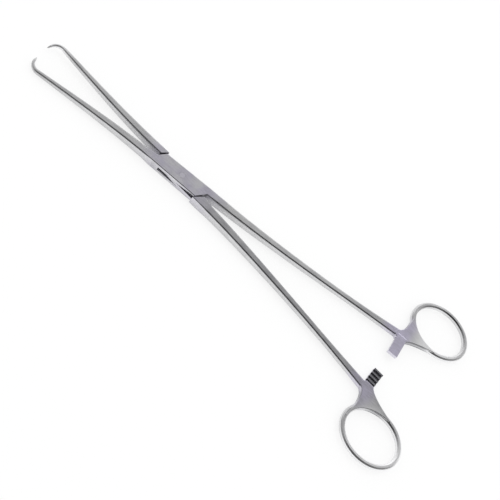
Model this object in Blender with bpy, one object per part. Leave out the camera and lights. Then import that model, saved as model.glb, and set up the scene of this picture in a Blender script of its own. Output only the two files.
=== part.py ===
"""Uterine tenaculum forceps: two forged steel arms that cross in a box lock and turn on one pin.

Each arm is a single forging with a sharp hook, a slim jaw, its half of the lock, a handle shank,
a toothed ratchet bar and a finger ring. One arm has the box, a slot right through its widened
middle. The other arm has the tongue, a thin flat plate that passes through that slot. A pin goes
through both walls of the box and the tongue, and its ends are ground flush.

Each arm is drawn as it lies when the forceps are closed, with the pin on the Z axis, the handle
towards +X and the jaw towards -X. In its own drawing the handle is on the +Y side and the jaw on
the -Y side. The tongue arm is drawn the same way and mirrored across the X axis. Two empties on
the pin then swing the arms apart to the open position.
"""

import math

import bmesh
import bpy
from mathutils import Vector

MM = 0.001

# The arms stand open by this angle, counted from where the closed shoulders meet
OPEN_ANGLE = math.radians(6.0)

# Box lock
LOCK_THICKNESS = 5.5 * MM
LOCK_WIDTH = 8.9 * MM
LOCK_TAPER = math.radians(1.0)  # each side runs out this much towards the handle
CORNER_REACH = 14.6 * MM  # from the pin to the inner corner where a wall of the box ends
CORNER_RISE = 0.5 * MM  # both corners lie this far towards the box arm's handle
WALL_END_SLANT = math.radians(53)  # slanted end of each wall, against the middle line
SLOT_END_SLANT = math.radians(52.5)  # slanted inner end of the slot, leaning the other way
SLOT_HEIGHT = 2.0 * MM
LOCK_CLEARANCE = 0.15 * MM  # between tongue and slot, and between the closed shoulders
LOCK_EDGE = 0.4 * MM

# Pin
PIN_DIAMETER = 3.0 * MM
PIN_CLEARANCE = 0.05 * MM  # all round the pin

# Roots of the shanks, beside the lock
ROOT_REACH = 22.0 * MM
ROOT_RISE = 0.2 * MM  # the line between the closed roots lies this far to the box arm's handle
SHANK_ROOT_GAP = 1.3 * MM  # between the two closed arms on the handle side
JAW_ROOT_GAP = 0.36 * MM  # and on the jaw side

# Handle shank, from its root to the neck of the finger ring
SHANK_REACH = 128.0 * MM
SHANK_OFFSET = 11.3 * MM  # middle of the shank's outer end, from the middle line
SHANK_BOW = 1.45
SHANK_ROOT_WIDTH = 4.25 * MM
SHANK_WAIST_WIDTH = 2.95 * MM
SHANK_NECK_WIDTH = 4.2 * MM
SHANK_WAIST_AT = 0.68  # share of the shank's length
SHANK_ROOT_THICKNESS = 5.0 * MM
SHANK_NECK_THICKNESS = 3.0 * MM
SHANK_EDGE = 0.75 * MM

# Jaw, from its root to the start of the hook
JAW_REACH = 82.0 * MM
JAW_OFFSET = 5.1 * MM
JAW_BOW = 1.8
JAW_ROOT_WIDTH = 4.1 * MM
JAW_END_WIDTH = 2.15 * MM
JAW_ROOT_THICKNESS = 4.7 * MM
JAW_END_THICKNESS = 2.3 * MM

# Hook
HOOK_RADIUS = 4.8 * MM
HOOK_TURN = math.radians(88)
HOOK_POINT_LENGTH = 2.0 * MM  # straight stretch that ends in the point
HOOK_BEND_DIAMETER = 1.35 * MM  # where the bend ends and the point starts
HOOK_TIP_DIAMETER = 0.3 * MM
HOOK_LIFT = 0.85 * MM  # one hook passes over the other

# Finger ring
RING_SETBACK = 15.1 * MM  # from the middle of the ratchet bar to the middle of the ring
RING_OFFSET = 28.4 * MM
RING_INNER_LENGTH = 28.4 * MM
RING_INNER_WIDTH = 22.6 * MM
RING_TILT = math.radians(-1.0)
RIM_WIDTH = 2.8 * MM
RIM_THICKNESS = 3.0 * MM

# Neck between shank, ratchet bar and ring
NECK_RISE = 0.05 * MM  # each face of the neck lies this far outside the rim's
NECK_EDGE = 0.35 * MM
NECK_FILLET = 3.2 * MM

# Ratchet
BAR_SETBACK = 3.25 * MM  # from the shank's outer end to the middle of the bar
RATCHET_WIDTH = 5.3 * MM
RATCHET_THICKNESS = 2.0 * MM
RATCHET_OVERLAP = 1.2 * MM  # each closed bar reaches this far across the middle line
RATCHET_GAP = 0.16 * MM  # between the facing crests of the two bars
TOOTH_COUNT = 4
TOOTH_PITCH = 2.25 * MM
TOOTH_DEPTH = 0.9 * MM
TOOTH_END_LAND = 0.9 * MM  # plain tip before the first tooth
RATCHET_FALL = 2.6 * MM  # sloped end where the bar's back meets the neck

# Fineness of the surfaces
EDGE_STEPS = 4
RING_STEPS = 64
CUT_MARGIN = 2.0 * MM

MIDDLE = LOCK_THICKNESS / 2
HALF_LOCK = LOCK_WIDTH / 2
TAPER = math.tan(LOCK_TAPER)
RATCHET_REACH = SHANK_REACH + BAR_SETBACK
RING_REACH = RATCHET_REACH + RING_SETBACK
NECK_THICKNESS = RIM_THICKNESS + 2 * NECK_RISE
SHARP_ANGLE = math.radians(35)


def clear_scene():
    """Start from an empty scene."""
    for old in list(bpy.data.objects):
        bpy.data.objects.remove(old)


def new_collection(name):
    """Add a collection to the scene."""
    group = bpy.data.collections.new(name)
    bpy.context.scene.collection.children.link(group)
    return group


def steel(name, colour, roughness):
    """Plain stainless steel."""
    material = bpy.data.materials.new(name)
    material.use_nodes = True
    shader = material.node_tree.nodes["Principled BSDF"]
    shader.inputs["Base Color"].default_value = (*colour, 1)
    shader.inputs["Metallic"].default_value = 1.0
    shader.inputs["Roughness"].default_value = roughness
    return material


def add_object(name, mesh, group, parent):
    """Put a mesh in a collection, on its parent."""
    thing = bpy.data.objects.new(name, mesh)
    group.objects.link(thing)
    thing.parent = parent
    return thing


def as_guide(thing):
    """Mark an object that only shapes another one."""
    thing.hide_render = True
    thing.display_type = "WIRE"
    return thing


def shape_with(target, operation, tool):
    """Join a guide to a piece, or cut it away."""
    change = target.modifiers.new(tool.name, "BOOLEAN")
    change.operation = operation
    change.solver = "EXACT"
    change.object = tool


def curve_to_mesh(name, curve, group, parent, place=(0, 0, 0), turn=0.0, stretch=(1, 1, 1)):
    """Turn a curve into a closed mesh object."""
    drawn = bpy.data.objects.new(name, curve)
    group.objects.link(drawn)
    evaluated = drawn.evaluated_get(bpy.context.evaluated_depsgraph_get())
    mesh = bpy.data.meshes.new_from_object(evaluated)
    bpy.data.objects.remove(drawn)
    shape = bmesh.new()
    shape.from_mesh(mesh)
    bmesh.ops.remove_doubles(shape, verts=shape.verts, dist=0.001 * MM)
    bmesh.ops.scale(shape, vec=stretch, verts=shape.verts)
    bmesh.ops.recalc_face_normals(shape, faces=shape.faces)
    shape.to_mesh(mesh)
    shape.free()
    thing = add_object(name, mesh, group, parent)
    thing.location = place
    thing.rotation_euler.z = turn
    return thing


def plate(name, outline, low, high, group, parent, edge=0.0):
    """Flat outline in plan, from one height to another."""
    curve = bpy.data.curves.new(name, "CURVE")
    curve.dimensions = "2D"
    curve.fill_mode = "BOTH"
    curve.extrude = (high - low) / 2 - edge
    curve.bevel_depth = edge
    curve.bevel_resolution = 1
    curve.offset = -edge
    line = curve.splines.new("POLY")
    line.points.add(len(outline) - 1)
    for point, (x, y) in zip(line.points, outline):
        point.co = (x, y, 0, 1)
    line.use_cyclic_u = True
    return curve_to_mesh(name, curve, group, parent, place=(0, 0, (low + high) / 2))


def heading(angle):
    """Unit vector in plan."""
    return Vector((math.cos(angle), math.sin(angle)))


def meet(start, angle, other_start, other_angle):
    """Point where two straight lines in plan cross."""
    along = heading(angle)
    across = heading(other_angle + math.pi / 2)
    travel = (Vector(other_start) - Vector(start)).dot(across) / along.dot(across)
    return Vector(start) + along * travel


def ease(share):
    """Smooth change from 0 to 1."""
    return share * share * (3 - 2 * share)


def between(start, end, share):
    """Value at a share of the way from start to end."""
    return start + (end - start) * share


def rounded_section(centre, angle, width, thickness, edge, side):
    """Rounded rectangle across an arm that runs along the given heading."""
    across = heading(angle + math.pi / 2)
    edge = min(edge, 0.48 * width, 0.48 * thickness)
    points = []
    for corner in range(4):
        out = 1 if corner in (0, 3) else -1
        up = 1 if corner < 2 else -1
        for step in range(EDGE_STEPS + 1):
            swing = math.pi / 2 * (corner + step / EDGE_STEPS)
            reach = out * (width / 2 - edge) + edge * math.cos(swing)
            height = up * (thickness / 2 - edge) + edge * math.sin(swing)
            x = centre[0] + across.x * reach
            y = centre[1] + across.y * reach
            points.append(Vector((x, side * y, centre[2] + height)))
    return points


def loft(name, sections, group, parent):
    """Skin over a row of like sections, closed at both ends."""
    shape = bmesh.new()
    rings = [[shape.verts.new(point) for point in section] for section in sections]
    count = len(rings[0])
    for ring, following in zip(rings, rings[1:]):
        for index in range(count):
            beside = (index + 1) % count
            shape.faces.new((ring[index], ring[beside], following[beside], following[index]))
    shape.faces.new(rings[0])
    shape.faces.new(rings[-1])
    bmesh.ops.recalc_face_normals(shape, faces=shape.faces)
    mesh = bpy.data.meshes.new(name)
    shape.to_mesh(mesh)
    shape.free()
    return add_object(name, mesh, group, parent)


def edge_section(x, inner, outer, thickness, edge, side, lift=0.0):
    """Section square to the middle line, given by its two edges in plan."""
    centre = (x, (inner + outer) / 2, MIDDLE + lift)
    return rounded_section(centre, math.pi, abs(outer - inner), thickness, edge, side)


def shank_size(share):
    """Middle offset, width and thickness of the handle shank at a share of its length."""
    root_offset = (SHANK_ROOT_GAP + SHANK_ROOT_WIDTH) / 2
    offset = between(root_offset, SHANK_OFFSET, share**SHANK_BOW)
    if share < SHANK_WAIST_AT:
        swell = (1 - share / SHANK_WAIST_AT) ** 1.5
        width = between(SHANK_WAIST_WIDTH, SHANK_ROOT_WIDTH, swell)
    else:
        swell = ((share - SHANK_WAIST_AT) / (1 - SHANK_WAIST_AT)) ** 2
        width = between(SHANK_WAIST_WIDTH, SHANK_NECK_WIDTH, swell)
    thickness = between(SHANK_NECK_THICKNESS, SHANK_ROOT_THICKNESS, (1 - share) ** 2)
    return offset, width, thickness


def jaw_size(share):
    """Middle offset, width and thickness of the jaw at a share of its length."""
    root_offset = (JAW_ROOT_GAP + JAW_ROOT_WIDTH) / 2
    offset = between(root_offset, JAW_OFFSET, share**JAW_BOW)
    width = between(JAW_ROOT_WIDTH, JAW_END_WIDTH, share)
    thickness = between(JAW_ROOT_THICKNESS, JAW_END_THICKNESS, share)
    return offset, width, thickness


def rise(share, side):
    """How far an arm lies to one side of its even course, fading out from root to end."""
    return side * ROOT_RISE * (1 - share) ** 2


def shank_sections(side):
    """Handle shank, from its end inside the neck to its root."""
    steps = 16
    half = SHANK_NECK_WIDTH / 2
    depth = NECK_THICKNESS - NECK_EDGE / 2
    end = RATCHET_REACH + RATCHET_WIDTH / 4
    low = SHANK_OFFSET - half
    sections = [edge_section(end, low, low + 2 * half, depth, SHANK_EDGE, side)]
    for step in range(steps + 1):
        share = 1 - step / steps
        offset, width, thickness = shank_size(share)
        x = between(ROOT_REACH, SHANK_REACH, share)
        inner = offset - width / 2 + rise(share, side)
        outer = offset + width / 2 + rise(share, side)
        sections.append(edge_section(x, inner, outer, thickness, SHANK_EDGE, side))
    return sections


def root_sections(size, sign, side):
    """Blend from the lock to a shank or jaw, from the lock outwards."""
    steps = 6
    offset, width, thickness = size(0)
    corner = side * CORNER_RISE + sign * LOCK_CLEARANCE / 2
    flank = sign * HALF_LOCK + TAPER * CORNER_REACH
    middle = sign * offset + rise(0, side)
    sections = []
    for step in range(steps):
        share = ease(step / steps)
        x = sign * between(CORNER_REACH, ROOT_REACH, step / steps)
        inner = between(corner, middle - sign * width / 2, share)
        outer = between(flank, middle + sign * width / 2, share)
        depth = between(LOCK_THICKNESS, thickness, share)
        edge = between(LOCK_EDGE, SHANK_EDGE, share)
        sections.append(edge_section(x, inner, outer, depth, edge, side))
    return sections


def lock_sections(side):
    """Full width of the lock, from the handle side to the jaw side."""
    reach = CORNER_REACH - CUT_MARGIN / 2
    sections = []
    for x in (reach, 0, -reach):
        low = -HALF_LOCK - TAPER * x
        high = HALF_LOCK + TAPER * x
        sections.append(edge_section(x, low, high, LOCK_THICKNESS, LOCK_EDGE, side))
    return sections


def jaw_sections(lift, side):
    """Jaw from its root to the start of the hook."""
    steps = 12
    sections = []
    for step in range(steps):
        share = step / steps
        offset, width, thickness = jaw_size(share)
        x = -between(ROOT_REACH, JAW_REACH, share)
        inner = -(offset - width / 2) + rise(share, side)
        outer = -(offset + width / 2) + rise(share, side)
        raised = lift * ease(share)
        sections.append(edge_section(x, inner, outer, thickness, SHANK_EDGE, side, raised))
    return sections


def hook_sections(lift, side):
    """Bend and sharp point at the end of the jaw."""
    steps = 12
    offset, width, thickness = jaw_size(1)
    slope = JAW_BOW * (JAW_OFFSET - jaw_size(0)[0]) / (JAW_REACH - ROOT_REACH)
    first = math.pi + math.atan(slope)
    centre = Vector((-JAW_REACH, -offset)) + heading(first - math.pi / 2) * HOOK_RADIUS
    sections = []
    for step in range(steps + 1):
        share = step / steps
        angle = first - HOOK_TURN * share
        point = centre - heading(angle - math.pi / 2) * HOOK_RADIUS
        across = between(width, HOOK_BEND_DIAMETER, share)
        deep = between(thickness, HOOK_BEND_DIAMETER, share)
        rounding = between(SHANK_EDGE, HOOK_BEND_DIAMETER / 2, share)
        spot = (point.x, point.y, MIDDLE + lift)
        sections.append(rounded_section(spot, angle, across, deep, rounding, side))
    end = first - HOOK_TURN
    for share in (0.55, 1.0):
        tip = point + heading(end) * HOOK_POINT_LENGTH * share
        size = between(HOOK_BEND_DIAMETER, HOOK_TIP_DIAMETER, share**1.3)
        spot = (tip.x, tip.y, MIDDLE + lift)
        sections.append(rounded_section(spot, end, size, size, size / 2, side))
    return sections


def forged_blank(name, lift, side, group, parent):
    """Shank, full lock, jaw and hook of one arm as one loft."""
    sections = shank_sections(side)
    sections += reversed(root_sections(shank_size, 1, side))
    sections += lock_sections(side)
    sections += root_sections(jaw_size, -1, side)
    sections += jaw_sections(lift, side)
    sections += hook_sections(lift, side)
    return loft(name, sections, group, parent)


def ring_point(share_of_turn, grow=0.0):
    """Point on the middle line of the rim, in plan."""
    turn = 2 * math.pi * share_of_turn
    x = ((RING_INNER_LENGTH + RIM_WIDTH) / 2 + grow) * math.cos(turn)
    y = ((RING_INNER_WIDTH + RIM_WIDTH) / 2 + grow) * math.sin(turn)
    centre = Vector((RING_REACH, RING_OFFSET))
    return centre + heading(RING_TILT) * x + heading(RING_TILT + math.pi / 2) * y


def finger_ring(name, side, group, parent):
    """Oval rim with a rounded section."""
    curve = bpy.data.curves.new(name, "CURVE")
    curve.dimensions = "3D"
    curve.bevel_depth = RIM_WIDTH / 2
    curve.bevel_resolution = 3
    line = curve.splines.new("POLY")
    line.points.add(RING_STEPS - 1)
    for index, point in enumerate(line.points):
        spot = ring_point(index / RING_STEPS)
        point.co = (spot.x, side * spot.y, 0, 1)
    line.use_cyclic_u = True
    stretch = (1, 1, RIM_THICKNESS / RIM_WIDTH)
    return curve_to_mesh(name, curve, group, parent, place=(0, 0, MIDDLE), stretch=stretch)


def sweep(start, corner, end, steps=7):
    """Smooth hollow between two edges that would meet at a corner."""
    points = []
    for step in range(steps + 1):
        share = step / steps
        first = start.lerp(corner, share)
        last = corner.lerp(end, share)
        points.append(first.lerp(last, share))
    return points


def neck(name, side, group, parent):
    """Flat web that joins the shank and the ratchet bar to the ring."""
    half_bar = RATCHET_WIDTH / 2
    half_shank = SHANK_NECK_WIDTH / 2
    inside = 0.8 * half_bar
    shank_low = Vector((RATCHET_REACH - 1.8 * half_bar, SHANK_OFFSET - 0.5 * half_shank))
    shank_top = Vector((RATCHET_REACH - 1.5 * half_bar, SHANK_OFFSET + 0.7 * half_shank))
    bar_low = SHANK_OFFSET - 0.7 * SHANK_NECK_WIDTH
    bar_near = Vector((RATCHET_REACH - inside, bar_low))
    bar_far = Vector((RATCHET_REACH + inside, bar_low))
    armpit = Vector((RATCHET_REACH + half_bar + 0.3 * NECK_FILLET, SHANK_OFFSET + NECK_FILLET / 4))
    crook = Vector((RATCHET_REACH + 0.8 * half_bar, SHANK_OFFSET + half_shank + 0.3 * NECK_FILLET))
    outline = [shank_low, bar_near]
    outline += sweep(bar_far, armpit, ring_point(0.785, 0.15 * RIM_WIDTH))
    for step in range(17):
        share = step / 16
        inward = between(0.15, 0.45, math.sin(math.pi * share) ** 0.5)
        outline.append(ring_point(between(0.785, 0.48, share), -inward * RIM_WIDTH))
    outline += sweep(ring_point(0.48, 0.15 * RIM_WIDTH), crook, shank_top)
    flat = [(point.x, side * point.y) for point in outline]
    low = MIDDLE - NECK_THICKNESS / 2
    return plate(name, flat, low, low + NECK_THICKNESS, group, parent, NECK_EDGE)


def ratchet_profile(up):
    """Side view of the bar, as distance across the middle line and height above it."""
    crest = up * RATCHET_GAP / 2
    floor = crest + up * TOOTH_DEPTH
    back = crest + up * RATCHET_THICKNESS
    tip = -RATCHET_OVERLAP
    profile = [(tip, back), (tip, crest)]
    start = tip + TOOTH_END_LAND
    profile.append((start, crest))
    for tooth in range(TOOTH_COUNT):
        place = start + tooth * TOOTH_PITCH
        profile.append((place, floor))
        profile.append((place + TOOTH_PITCH, crest))
    root = SHANK_OFFSET - SHANK_NECK_WIDTH / 4
    profile.append((root + RATCHET_FALL, crest))
    profile.append((root + RATCHET_FALL, crest + up * RATCHET_THICKNESS / 3))
    profile.append((root, back))
    return profile


def ratchet_bar(name, up, side, group, parent):
    """Bar across the middle line, toothed on the face that meets the other arm's bar."""
    curve = bpy.data.curves.new(name, "CURVE")
    curve.dimensions = "2D"
    curve.fill_mode = "BOTH"
    curve.extrude = RATCHET_WIDTH / 2
    line = curve.splines.new("POLY")
    profile = ratchet_profile(up)
    line.points.add(len(profile) - 1)
    for point, (across, height) in zip(line.points, profile):
        point.co = (side * across, height, 0, 1)
    line.use_cyclic_u = True
    bar = curve_to_mesh(name, curve, group, parent, place=(RATCHET_REACH, 0, MIDDLE))
    bar.rotation_euler = (math.pi / 2, 0, math.pi / 2)
    return bar


def add_handle_end(arm, name, up, side, guides, parent):
    """Ring, neck and ratchet bar of one arm."""
    shape_with(arm, "UNION", as_guide(neck(name + "_neck", side, guides, parent)))
    shape_with(arm, "UNION", as_guide(ratchet_bar(name + "_ratchet", up, side, guides, parent)))
    shape_with(arm, "UNION", as_guide(finger_ring(name + "_ring", side, guides, parent)))


def corner(sign):
    """Inner corner where a wall of the box ends, on the handle side or the jaw side."""
    return Vector((sign * CORNER_REACH, CORNER_RISE))


def wall_end_distance(sign):
    """From the pin to the slanted end of a wall of the box, square to that end."""
    return sign * corner(sign).dot(heading(WALL_END_SLANT - math.pi / 2))


def cut_box(arm, guides, parent):
    """Cut the slot and the two slanted wall ends into the box arm."""
    far = HALF_LOCK + CUT_MARGIN
    slot = []
    for sign, place in ((1, "handle"), (-1, "jaw")):
        start = corner(sign) - Vector((sign * LOCK_CLEARANCE, 0))
        foot = meet(start, WALL_END_SLANT, (0, -sign * far), 0)
        past = Vector((sign * (CORNER_REACH + CUT_MARGIN), -sign * far))
        clear = Vector((past.x, start.y - sign * CUT_MARGIN / 4))
        outline = [tuple(point) for point in (start, foot, past, clear)]
        name = f"wall_end_{place}"
        cutter = plate(name, outline, -CUT_MARGIN, LOCK_THICKNESS + CUT_MARGIN, guides, parent)
        shape_with(arm, "DIFFERENCE", as_guide(cutter))
        top = meet(corner(sign), -SLOT_END_SLANT, (0, sign * far), 0)
        slot += [tuple(point) for point in (past, corner(sign), top)]
    low = MIDDLE - SLOT_HEIGHT / 2
    cutter = plate("slot", slot, low, low + SLOT_HEIGHT, guides, parent)
    shape_with(arm, "DIFFERENCE", as_guide(cutter))


def tongue_outline():
    """Flat plate that fills the closed slot, with its ends let into the tongue arm."""
    outline = []
    for sign in (1, -1):
        out = heading(WALL_END_SLANT - math.pi / 2) * sign
        away = heading(math.pi / 2 - SLOT_END_SLANT) * sign
        shoulder = corner(sign) + out * LOCK_CLEARANCE
        stop = corner(sign) - away * LOCK_CLEARANCE
        near = (0, -sign * (HALF_LOCK - LOCK_CLEARANCE / 2))
        beyond = (0, sign * (HALF_LOCK - LOCK_CLEARANCE / 2))
        foot = meet(shoulder, WALL_END_SLANT, near, -sign * LOCK_TAPER)
        inner = meet(stop, -SLOT_END_SLANT, shoulder, WALL_END_SLANT)
        top = meet(stop, -SLOT_END_SLANT, beyond, sign * LOCK_TAPER)
        sunk = [foot.lerp(inner, share) + out * HALF_LOCK / 5 for share in (0.2, 0.7)]
        outline += [foot, *sunk, inner, top]
    return outline


def cut_shoulders(arm, guides, parent):
    """Take the lock's middle out of the tongue arm and put the thin tongue in its place."""
    handle = wall_end_distance(1) + LOCK_CLEARANCE
    jaw = wall_end_distance(-1) + LOCK_CLEARANCE
    across = heading(WALL_END_SLANT - math.pi / 2)
    place = across * (handle - jaw) / 2
    bpy.ops.mesh.primitive_cube_add(size=1, location=(place.x, place.y, MIDDLE))
    cutter = bpy.context.object
    cutter.name = "shoulders"
    cutter.scale = (handle + jaw, 4 * CORNER_REACH, LOCK_THICKNESS + 2 * CUT_MARGIN)
    cutter.rotation_euler.z = WALL_END_SLANT - math.pi / 2
    for holder in cutter.users_collection:
        holder.objects.unlink(cutter)
    guides.objects.link(cutter)
    cutter.parent = parent
    shape_with(arm, "DIFFERENCE", as_guide(cutter))
    outline = [tuple(point) for point in tongue_outline()]
    depth = SLOT_HEIGHT / 2 - LOCK_CLEARANCE
    tongue = plate("tongue", outline, MIDDLE - depth, MIDDLE + depth, guides, parent)
    shape_with(arm, "UNION", as_guide(tongue))


def pin_cylinder(name, radius, height, group, parent):
    """Upright cylinder on the pin's axis."""
    bpy.ops.mesh.primitive_cylinder_add(vertices=32, radius=radius, depth=height)
    thing = bpy.context.object
    thing.name = name
    thing.location = (0, 0, MIDDLE)
    for holder in thing.users_collection:
        holder.objects.unlink(thing)
    group.objects.link(thing)
    thing.parent = parent
    return thing


def drill(arm, name, guides, parent):
    """Bore for the pin."""
    radius = PIN_DIAMETER / 2 + PIN_CLEARANCE
    bore = pin_cylinder(name, radius, LOCK_THICKNESS + 2 * CUT_MARGIN, guides, parent)
    shape_with(arm, "DIFFERENCE", as_guide(bore))


def finish_piece(thing, material):
    """Give a piece its steel and its shading."""
    thing.data.materials.append(material)
    thing.data.shade_smooth()
    thing.data.set_sharp_from_angle(angle=SHARP_ANGLE)


def hinge_empty(name, angle, group):
    """Empty on the pin's axis that carries one arm."""
    axis = bpy.data.objects.new(name, None)
    axis.rotation_euler.z = angle
    group.objects.link(axis)
    return axis


def build():
    """Model both arms and the pin."""
    clear_scene()
    pieces = new_collection("tenaculum_forceps")
    guides = new_collection("guides")
    box_axis = hinge_empty("box_arm_axis", OPEN_ANGLE / 2, pieces)
    tongue_axis = hinge_empty("tongue_arm_axis", -OPEN_ANGLE / 2, pieces)

    box_arm = forged_blank("box_arm", -HOOK_LIFT, 1, pieces, box_axis)
    cut_box(box_arm, guides, box_axis)
    drill(box_arm, "box_bore", guides, box_axis)
    add_handle_end(box_arm, "box", 1, 1, guides, box_axis)
    finish_piece(box_arm, steel("box_arm_steel", (0.52, 0.52, 0.54), 0.32))

    tongue_arm = forged_blank("tongue_arm", HOOK_LIFT, -1, pieces, tongue_axis)
    cut_shoulders(tongue_arm, guides, tongue_axis)
    drill(tongue_arm, "tongue_bore", guides, tongue_axis)
    add_handle_end(tongue_arm, "tongue", -1, -1, guides, tongue_axis)
    finish_piece(tongue_arm, steel("tongue_arm_steel", (0.52, 0.52, 0.54), 0.32))

    lock_pin = pin_cylinder("lock_pin", PIN_DIAMETER / 2, LOCK_THICKNESS, pieces, box_axis)
    finish_piece(lock_pin, steel("lock_pin_steel", (0.55, 0.55, 0.56), 0.28))


build()
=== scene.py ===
"""Studio view of a uterine tenaculum in satin stainless steel, slightly open on a white table."""

import math

import bpy
from mathutils import Matrix, Vector

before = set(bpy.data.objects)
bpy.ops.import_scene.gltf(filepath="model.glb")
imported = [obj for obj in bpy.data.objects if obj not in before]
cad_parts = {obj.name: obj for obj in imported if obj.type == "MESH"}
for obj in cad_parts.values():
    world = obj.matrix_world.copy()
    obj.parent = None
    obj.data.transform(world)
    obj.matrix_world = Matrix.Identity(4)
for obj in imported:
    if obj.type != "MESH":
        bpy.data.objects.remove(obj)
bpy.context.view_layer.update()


# Box arm. One forging with hook, jaw, the box of the lock, shank, ratchet bar and finger ring, in
# hardened stainless steel. It is ground to shape, polished, and dulled with fine glass beads, which
# leaves a soft grey with a breath of violet on the broad flats. The ratchet is milled afterwards.
class Socket:
    """One value in a material's node tree, with ordinary arithmetic."""

    def __init__(self, tree, output=None):
        self.tree = tree
        self.output = output

    def node(self, kind, settings, sockets):
        """Add a node: first its settings, then the values or links of its sockets."""
        made = self.tree.nodes.new(kind)
        for name, value in settings.items():
            setattr(made, name, value)
        for name, value in sockets.items():
            if isinstance(value, Socket):
                self.tree.links.new(value.output, made.inputs[name])
            else:
                made.inputs[name].default_value = value
        return Socket(self.tree, made.outputs[0])

    def other(self, name):
        """Another output of the same node."""
        return Socket(self.tree, self.output.node.outputs[name])

    def maths(self, operation, first, second):
        """One arithmetic step."""
        return self.node("ShaderNodeMath", {"operation": operation}, {0: first, 1: second})

    def __add__(self, value):
        return self.maths("ADD", self, value)

    def __radd__(self, value):
        return self.maths("ADD", value, self)

    def __sub__(self, value):
        return self.maths("SUBTRACT", self, value)

    def __rsub__(self, value):
        return self.maths("SUBTRACT", value, self)

    def __mul__(self, value):
        return self.maths("MULTIPLY", self, value)

    def __rmul__(self, value):
        return self.maths("MULTIPLY", value, self)

    def __neg__(self):
        return self.maths("SUBTRACT", 0.0, self)

    def __abs__(self):
        return self.maths("ABSOLUTE", self, 0.0)

    def rise(self, low, high):
        """Smooth step from 0 at one value to 1 at another."""
        settings = {"interpolation_type": "SMOOTHSTEP"}
        return self.node("ShaderNodeMapRange", settings, {0: self, 1: low, 2: high})

    def fall(self, low, high):
        """Smooth step from 1 at one value to 0 at another."""
        return 1.0 - self.rise(low, high)

    def between(self, start, end):
        """1 between two smooth steps, and 0 outside them."""
        return self.rise(*start) - self.rise(*end)

    def mix(self, none, full):
        """Colour between two, by this value."""
        sockets = {0: self, 6: none, 7: full}
        return self.node("ShaderNodeMix", {"data_type": "RGBA"}, sockets).other(2)

    def feed(self, socket):
        """Drive a socket of a shader."""
        self.tree.links.new(self.output, socket)


OPEN_ANGLE = math.radians(6.0)
LOCK_MIDDLE = 0.00275

# Neutral and violet are the steel's own tones; the pale one is polish and painted highlight, the
# dull one dull specks and painted shade, the darkest painted shade in teeth and slot.
NEUTRAL = (0.61, 0.61, 0.615, 1)
VIOLET = (0.59, 0.56, 0.69, 1)
PALE_POLISH_AND_HIGHLIGHT = (0.88, 0.88, 0.89, 1)
DULL_AND_SHADE = (0.30, 0.30, 0.315, 1)
PAINTED_SHADE_GREY = (0.2, 0.2, 0.21, 1)
BEADED_ROUGHNESS = 0.3

CLOUD_SCALE = 110.0
PATCH_SCALE = 150.0
GRAIN_SCALE = 2600.0
BEAD_SCALE = 5200.0
GRAIN_STRETCH = (0.1, 1.0, 1.0)

# Places on an arm, in metres. Each pair is where a change of tone begins and where it is complete.
HOOK_TO_JAW = (-0.080, -0.045)
HOOK_TO_SIDES = (-0.080, -0.060)
LOCK_END = (0.012, 0.03)
SLOT_SIDE = (0.0040, 0.0043)
SLOT_END = (0.0142, 0.0155)
SHANK_END = (0.120, 0.128)
NECK_MIDDLE = 0.128
NECK_REACH = (0.005, 0.011)
NECK_EDGE = (0.019, 0.026)
TEETH_MIDDLE = 0.13125
TEETH_REACH = (0.00262, 0.00268)
TEETH_ROOT = (0.0084, 0.0086)
TEETH_DEPTH = (0.00025, 0.0006)
CROOK_ALONG = ((0.1285, 0.131), (0.142, 0.148))
CROOK_ACROSS = ((0.008, 0.010), (0.017, 0.022))
CROOK_EDGES = (0.0004, 0.0010)

# How steep a face is: 1 lies flat, and 0 stands upright.
FLAT_FACE = (0.5, 0.9)
UPRIGHT_FACE = (0.3, 0.6)
ROUNDED_FACE = 0.6
ROUNDED_SPREAD = (0.2, 0.4)
CROOK_FACE = (0.75, 0.95)
TOOTH_FACE = (0.3, 0.5)

# Shares of a second tone in the steel, from none at 0 to nothing else at 1. The violet and speck
# shares are the steel's own tone; the others set painted shade and painted highlight.
EVEN_VIOLET = 0.15
PATCHY_VIOLET = 0.7
SPECK_SHARE = 0.35
EDGE_SHADE_SHARE = 0.75
SIDE_HIGHLIGHT_SHARE = 0.4
CROOK_SHADE_SHARE = 0.55
CROOK_EDGE_SHADE_SHARE = 0.5
SLOT_SHADE_SHARE = 0.8


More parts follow.
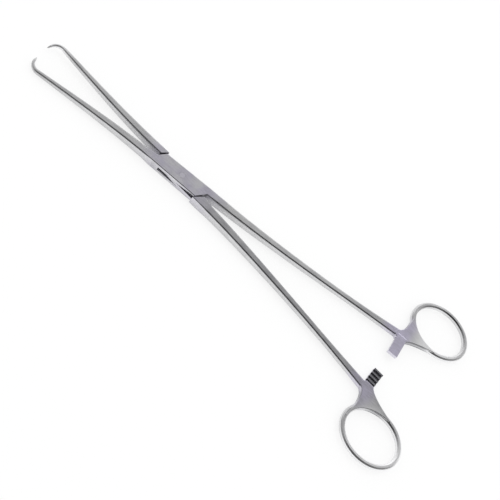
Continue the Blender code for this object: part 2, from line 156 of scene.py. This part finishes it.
def satin_steel(name, side, shade_along, polish_and_highlight):
    """Beaded steel of one arm, with painted shade in its teeth, slot, crook and edges, and painted
    highlight on its sides and ring.
    """
    material = bpy.data.materials.new(name)
    material.use_nodes = True
    shader = material.node_tree.nodes["Principled BSDF"]
    start = Socket(material.node_tree)

    # Place of a spot: along the arm from the pin, across it to its ring, and above its middle.
    spot = start.node("ShaderNodeTexCoord", {}, {}).other("Object")
    x = start.node("ShaderNodeSeparateXYZ", {}, {0: spot})
    y = x.other("Y")
    swing = OPEN_ANGLE / 2
    along = x * math.cos(swing) + y * (side * math.sin(swing))
    across = y * (side * math.cos(swing)) - x * math.sin(swing)
    above = x.other("Z") - LOCK_MIDDLE

    # Way that its face looks: 1 straight up, 0 sideways, -1 straight down.
    normal = start.node("ShaderNodeNewGeometry", {}, {}).other("Normal")
    upward = start.node("ShaderNodeSeparateXYZ", {}, {0: normal}).other("Z")
    tilt = abs(upward)
    flat = tilt.rise(*FLAT_FACE)
    upright = tilt.fall(*UPRIGHT_FACE)
    rounded = abs(tilt - ROUNDED_FACE).fall(*ROUNDED_SPREAD)

    cloud = start.node(
        "ShaderNodeTexNoise", {}, {"Vector": spot, "Scale": CLOUD_SCALE, "Detail": 3.0}
    )
    patches = start.node(
        "ShaderNodeTexNoise", {}, {"Vector": spot, "Scale": PATCH_SCALE, "Detail": 4.0}
    )
    drawn = start.node("ShaderNodeMapping", {}, {"Vector": spot, "Scale": GRAIN_STRETCH})
    grain = start.node(
        "ShaderNodeTexNoise", {}, {"Vector": drawn, "Scale": GRAIN_SCALE, "Detail": 2.0}
    )
    beads = start.node(
        "ShaderNodeTexNoise", {}, {"Vector": spot, "Scale": BEAD_SCALE, "Detail": 1.0}
    )

    # Violet lies in patches on the lock and evenly on the neck.
    lock = abs(along).fall(*LOCK_END)
    neck = abs(along - NECK_MIDDLE).fall(*NECK_REACH) * across.fall(*NECK_EDGE)
    violet = lock * (patches.rise(0.3, 0.7) * PATCHY_VIOLET + EVEN_VIOLET) + neck
    steel = violet.mix(NEUTRAL, VIOLET)

    # Painted shade darkens the flats along the arm, broken up in clouds, and dull specks lie on
    # them; painted shade also darkens the rounded edges of jaw and shank.
    specks = (patches + grain).rise(0.8, 1.25) * SPECK_SHARE
    shade_and_specks = shade_along(along) * flat * (cloud * 0.7 + 0.65) + specks
    edge_shade = rounded * along.fall(*SHANK_END) * along.rise(*HOOK_TO_JAW)
    steel = (shade_and_specks + edge_shade * EDGE_SHADE_SHARE).mix(steel, DULL_AND_SHADE)

    # Painted highlight lightens the upright sides. The rings are polished and carry a painted
    # highlight as well.
    steel = (upright * along.rise(*HOOK_TO_SIDES) * SIDE_HIGHLIGHT_SHARE).mix(steel, PALE_POLISH_AND_HIGHLIGHT)
    polished_and_lit = polish_and_highlight(along, across)
    steel = polished_and_lit.mix(steel, PALE_POLISH_AND_HIGHLIGHT)

    # Painted shade darkens the steep faces in the crook between ratchet bar and ring, more so
    # towards their top and bottom.
    crook_shade = tilt.fall(*CROOK_FACE) * across.between(*CROOK_ACROSS) * along.between(*CROOK_ALONG)
    edges = abs(above).rise(*CROOK_EDGES)
    steel = (crook_shade * (edges * CROOK_EDGE_SHADE_SHARE + CROOK_SHADE_SHARE)).mix(steel, DULL_AND_SHADE)

    # Painted shade darkens the teeth, which look up on the tongue arm and down on the box arm, and
    # the upright walls in the slot of the lock.
    teeth = abs(along - TEETH_MIDDLE).fall(*TEETH_REACH) * across.fall(*TEETH_ROOT)
    depth = (above * side).rise(*TEETH_DEPTH) * 0.1 + 0.9
    shaded_teeth = teeth * (upward * -side).rise(*TOOTH_FACE) * depth
    slot_shade = upright * abs(across).fall(*SLOT_SIDE) * abs(along).fall(*SLOT_END)
    painted_shade = shaded_teeth + slot_shade * SLOT_SHADE_SHARE
    painted_shade.mix(steel, PAINTED_SHADE_GREY).feed(shader.inputs["Base Color"])

    shader.inputs["Metallic"].default_value = 1.0
    uneven = (cloud - 0.5) * 0.1 + (grain - 0.5) * 0.1
    (uneven + shaded_teeth * 0.2 + polished_and_lit * 0.06 + BEADED_ROUGHNESS).feed(shader.inputs["Roughness"])
    relief = cloud * 4.0 + beads * 0.2 + grain * 0.2
    sockets = {"Strength": 0.5, "Distance": 0.00005, "Height": relief}
    start.node("ShaderNodeBump", {}, sockets).feed(shader.inputs["Normal"])
    return material


def dress(node, steel):
    """Give a piece of the frame its steel."""
    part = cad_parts[node]
    part.data.materials.clear()
    part.data.materials.append(steel)


def box_arm_shade(along):
    """Painted shade on the shank, a little darker towards the ring."""
    return 0.25 * along.between((0.09, 0.11), (0.12, 0.13))


def box_arm_polish_and_highlight(along, across):
    """The ring is polished and carries a painted highlight, less of it on its outer end."""
    ring = along.rise(0.133, 0.143)
    outer_end = (along + across).rise(0.177, 0.189)
    return ring * (1.0 - 0.9 * outer_end)


dress("box_arm", satin_steel("satin_box_arm", 1, box_arm_shade, box_arm_polish_and_highlight))


# Tongue arm. The same forging with the tongue in place of the box, from the same steel. Its shank
# carries painted shade, the inner side of its ring no painted highlight, and its teeth face up.
def tongue_arm_shade(along):
    """Painted shade on the whole shank, and half as much on the neck."""
    shank_and_neck = along.rise(0.0, 0.03)
    neck = along.rise(0.12, 0.132)
    return 0.5 * shank_and_neck - 0.25 * neck


def tongue_arm_polish_and_highlight(along, across):
    """The ring is polished and carries a painted highlight except where it runs close to the other
    one. The hook gets a painted highlight too.
    """
    ring = along.rise(0.130, 0.140) * across.rise(0.013, 0.023)
    hook = along.fall(-0.084, -0.074)
    return ring + hook


dress("tongue_arm", satin_steel("satin_tongue_arm", -1, tongue_arm_shade, tongue_arm_polish_and_highlight))


# Lock pin. It is turned from the same stainless steel, riveted into both walls of the box with the
# tongue between them, and ground flush, so only a faint round shows on each face of the lock.
PIN_CLOUD_SCALE = 900.0
PIN_ROUGHNESS = 0.25


def ground_steel(name):
    """Steel that the grinding wheel left in faint clouds."""
    material = bpy.data.materials.new(name)
    material.use_nodes = True
    shader = material.node_tree.nodes["Principled BSDF"]
    start = Socket(material.node_tree)
    spot = start.node("ShaderNodeTexCoord", {}, {}).other("Object")
    cloud = start.node(
        "ShaderNodeTexNoise", {}, {"Vector": spot, "Scale": PIN_CLOUD_SCALE, "Detail": 2.0}
    )
    cloud.mix(VIOLET, NEUTRAL).feed(shader.inputs["Base Color"])
    shader.inputs["Metallic"].default_value = 1.0
    (PIN_ROUGHNESS + cloud * 0.08).feed(shader.inputs["Roughness"])
    return material


dress("lock_pin", ground_steel("ground_pin"))


# White table under the instrument. It is stage, not part of the object. It glows a little towards
# the camera and in the steel's reflections, so that it looks white and keeps the faint shadow.
TABLE_REACH = 3.0
TABLE_DROP = 0.0002
TABLE_WHITE = (0.93, 0.93, 0.93, 1)
GLOW_WHITE = (0.985, 0.985, 0.985, 1)
GLOW_TO_CAMERA = 0.8
GLOW_IN_STEEL = 0.3

table_mesh = bpy.data.meshes.new("table")
corners = [(-TABLE_REACH, -TABLE_REACH, 0), (TABLE_REACH, -TABLE_REACH, 0)]
corners += [(TABLE_REACH, TABLE_REACH, 0), (-TABLE_REACH, TABLE_REACH, 0)]
table_mesh.from_pydata(corners, [], [(0, 1, 2, 3)])
table = bpy.data.objects.new("table", table_mesh)
table.location.z = -TABLE_DROP
bpy.context.scene.collection.objects.link(table)

white = bpy.data.materials.new("white_table")
white.use_nodes = True
matt = white.node_tree.nodes["Principled BSDF"]
matt.inputs["Base Color"].default_value = TABLE_WHITE
matt.inputs["Roughness"].default_value = 0.9
matt.inputs["Specular IOR Level"].default_value = 0.0
plain = Socket(white.node_tree, matt.outputs[0])
seen = plain.node("ShaderNodeLightPath", {}, {})
share = seen * GLOW_TO_CAMERA + seen.other("Is Glossy Ray") * GLOW_IN_STEEL
glow = plain.node("ShaderNodeEmission", {}, {"Color": GLOW_WHITE, "Strength": 1.0})
lit = plain.node("ShaderNodeMixShader", {}, {0: share, 1: plain, 2: glow})
lit.feed(white.node_tree.nodes["Material Output"].inputs["Surface"])
table_mesh.materials.append(white)


# Studio round the table: even white light, and for the steel a room that is pale on the far side
# and at both ends, more so at the hooks' end, with a low pale strip in front. It is dark above and
# behind the camera, which draws the dark line along each near edge.
DARK_ROOM = 0.005

world = bpy.data.worlds.new("studio")
bpy.context.scene.world = world
world.use_nodes = True
sky = world.node_tree.nodes["Background"]
sky.inputs["Color"].default_value = (1, 1, 1, 1)
start = Socket(world.node_tree)
direction = start.node("ShaderNodeTexCoord", {}, {}).other("Generated")
sideways = start.node("ShaderNodeSeparateXYZ", {}, {0: direction})
away = sideways.other("Y")
far_side = 0.66 * away.rise(0.0, 0.62) + 0.6 * away.rise(0.65, 0.9)
near_strip = 0.6 * (-away).rise(0.84, 0.97)
ends = 0.5 * (-sideways).rise(0.2, 0.8) + 0.2 * sideways.rise(0.3, 0.9)
room = DARK_ROOM + far_side + near_strip + ends
glossy = start.node("ShaderNodeLightPath", {}, {}).other("Is Glossy Ray")
(glossy * room + (1.0 - glossy)).feed(sky.inputs["Strength"])

lamp_data = bpy.data.lights.new("soft_overhead", "AREA")
lamp_data.shape = "SQUARE"
lamp_data.size = 0.9
lamp_data.energy = 3.0
lamp = bpy.data.objects.new("soft_overhead", lamp_data)
lamp.location = (0.1, 0.3, 1.2)
lamp_aim = Vector((0.04, 0, 0))
lamp.rotation_euler = (lamp_aim - lamp.location).to_track_quat("-Z", "Y").to_euler()
lamp.visible_glossy = False
bpy.context.scene.collection.objects.link(lamp)


# Camera above the near side, some half a metre away, turned so that the instrument lies along the
# picture's diagonal with the hooks at the upper left.
camera_data = bpy.data.cameras.new("camera")
camera_data.sensor_width = 36.0
camera_data.lens = 75.34
camera = bpy.data.objects.new("camera", camera_data)
bpy.context.scene.collection.objects.link(camera)
eye = Vector((0.03307, -0.28788, 0.40562))
aim = Vector((0.04725, -0.00381, LOCK_MIDDLE))
level_view = (aim - eye).to_track_quat("-Z", "Y").to_matrix()
roll = Matrix.Rotation(math.radians(44.5), 3, "Z")
camera.matrix_world = Matrix.Translation(eye) @ (level_view @ roll).to_4x4()
bpy.context.scene.camera = camera
bpy.context.scene.view_settings.view_transform = "Standard"
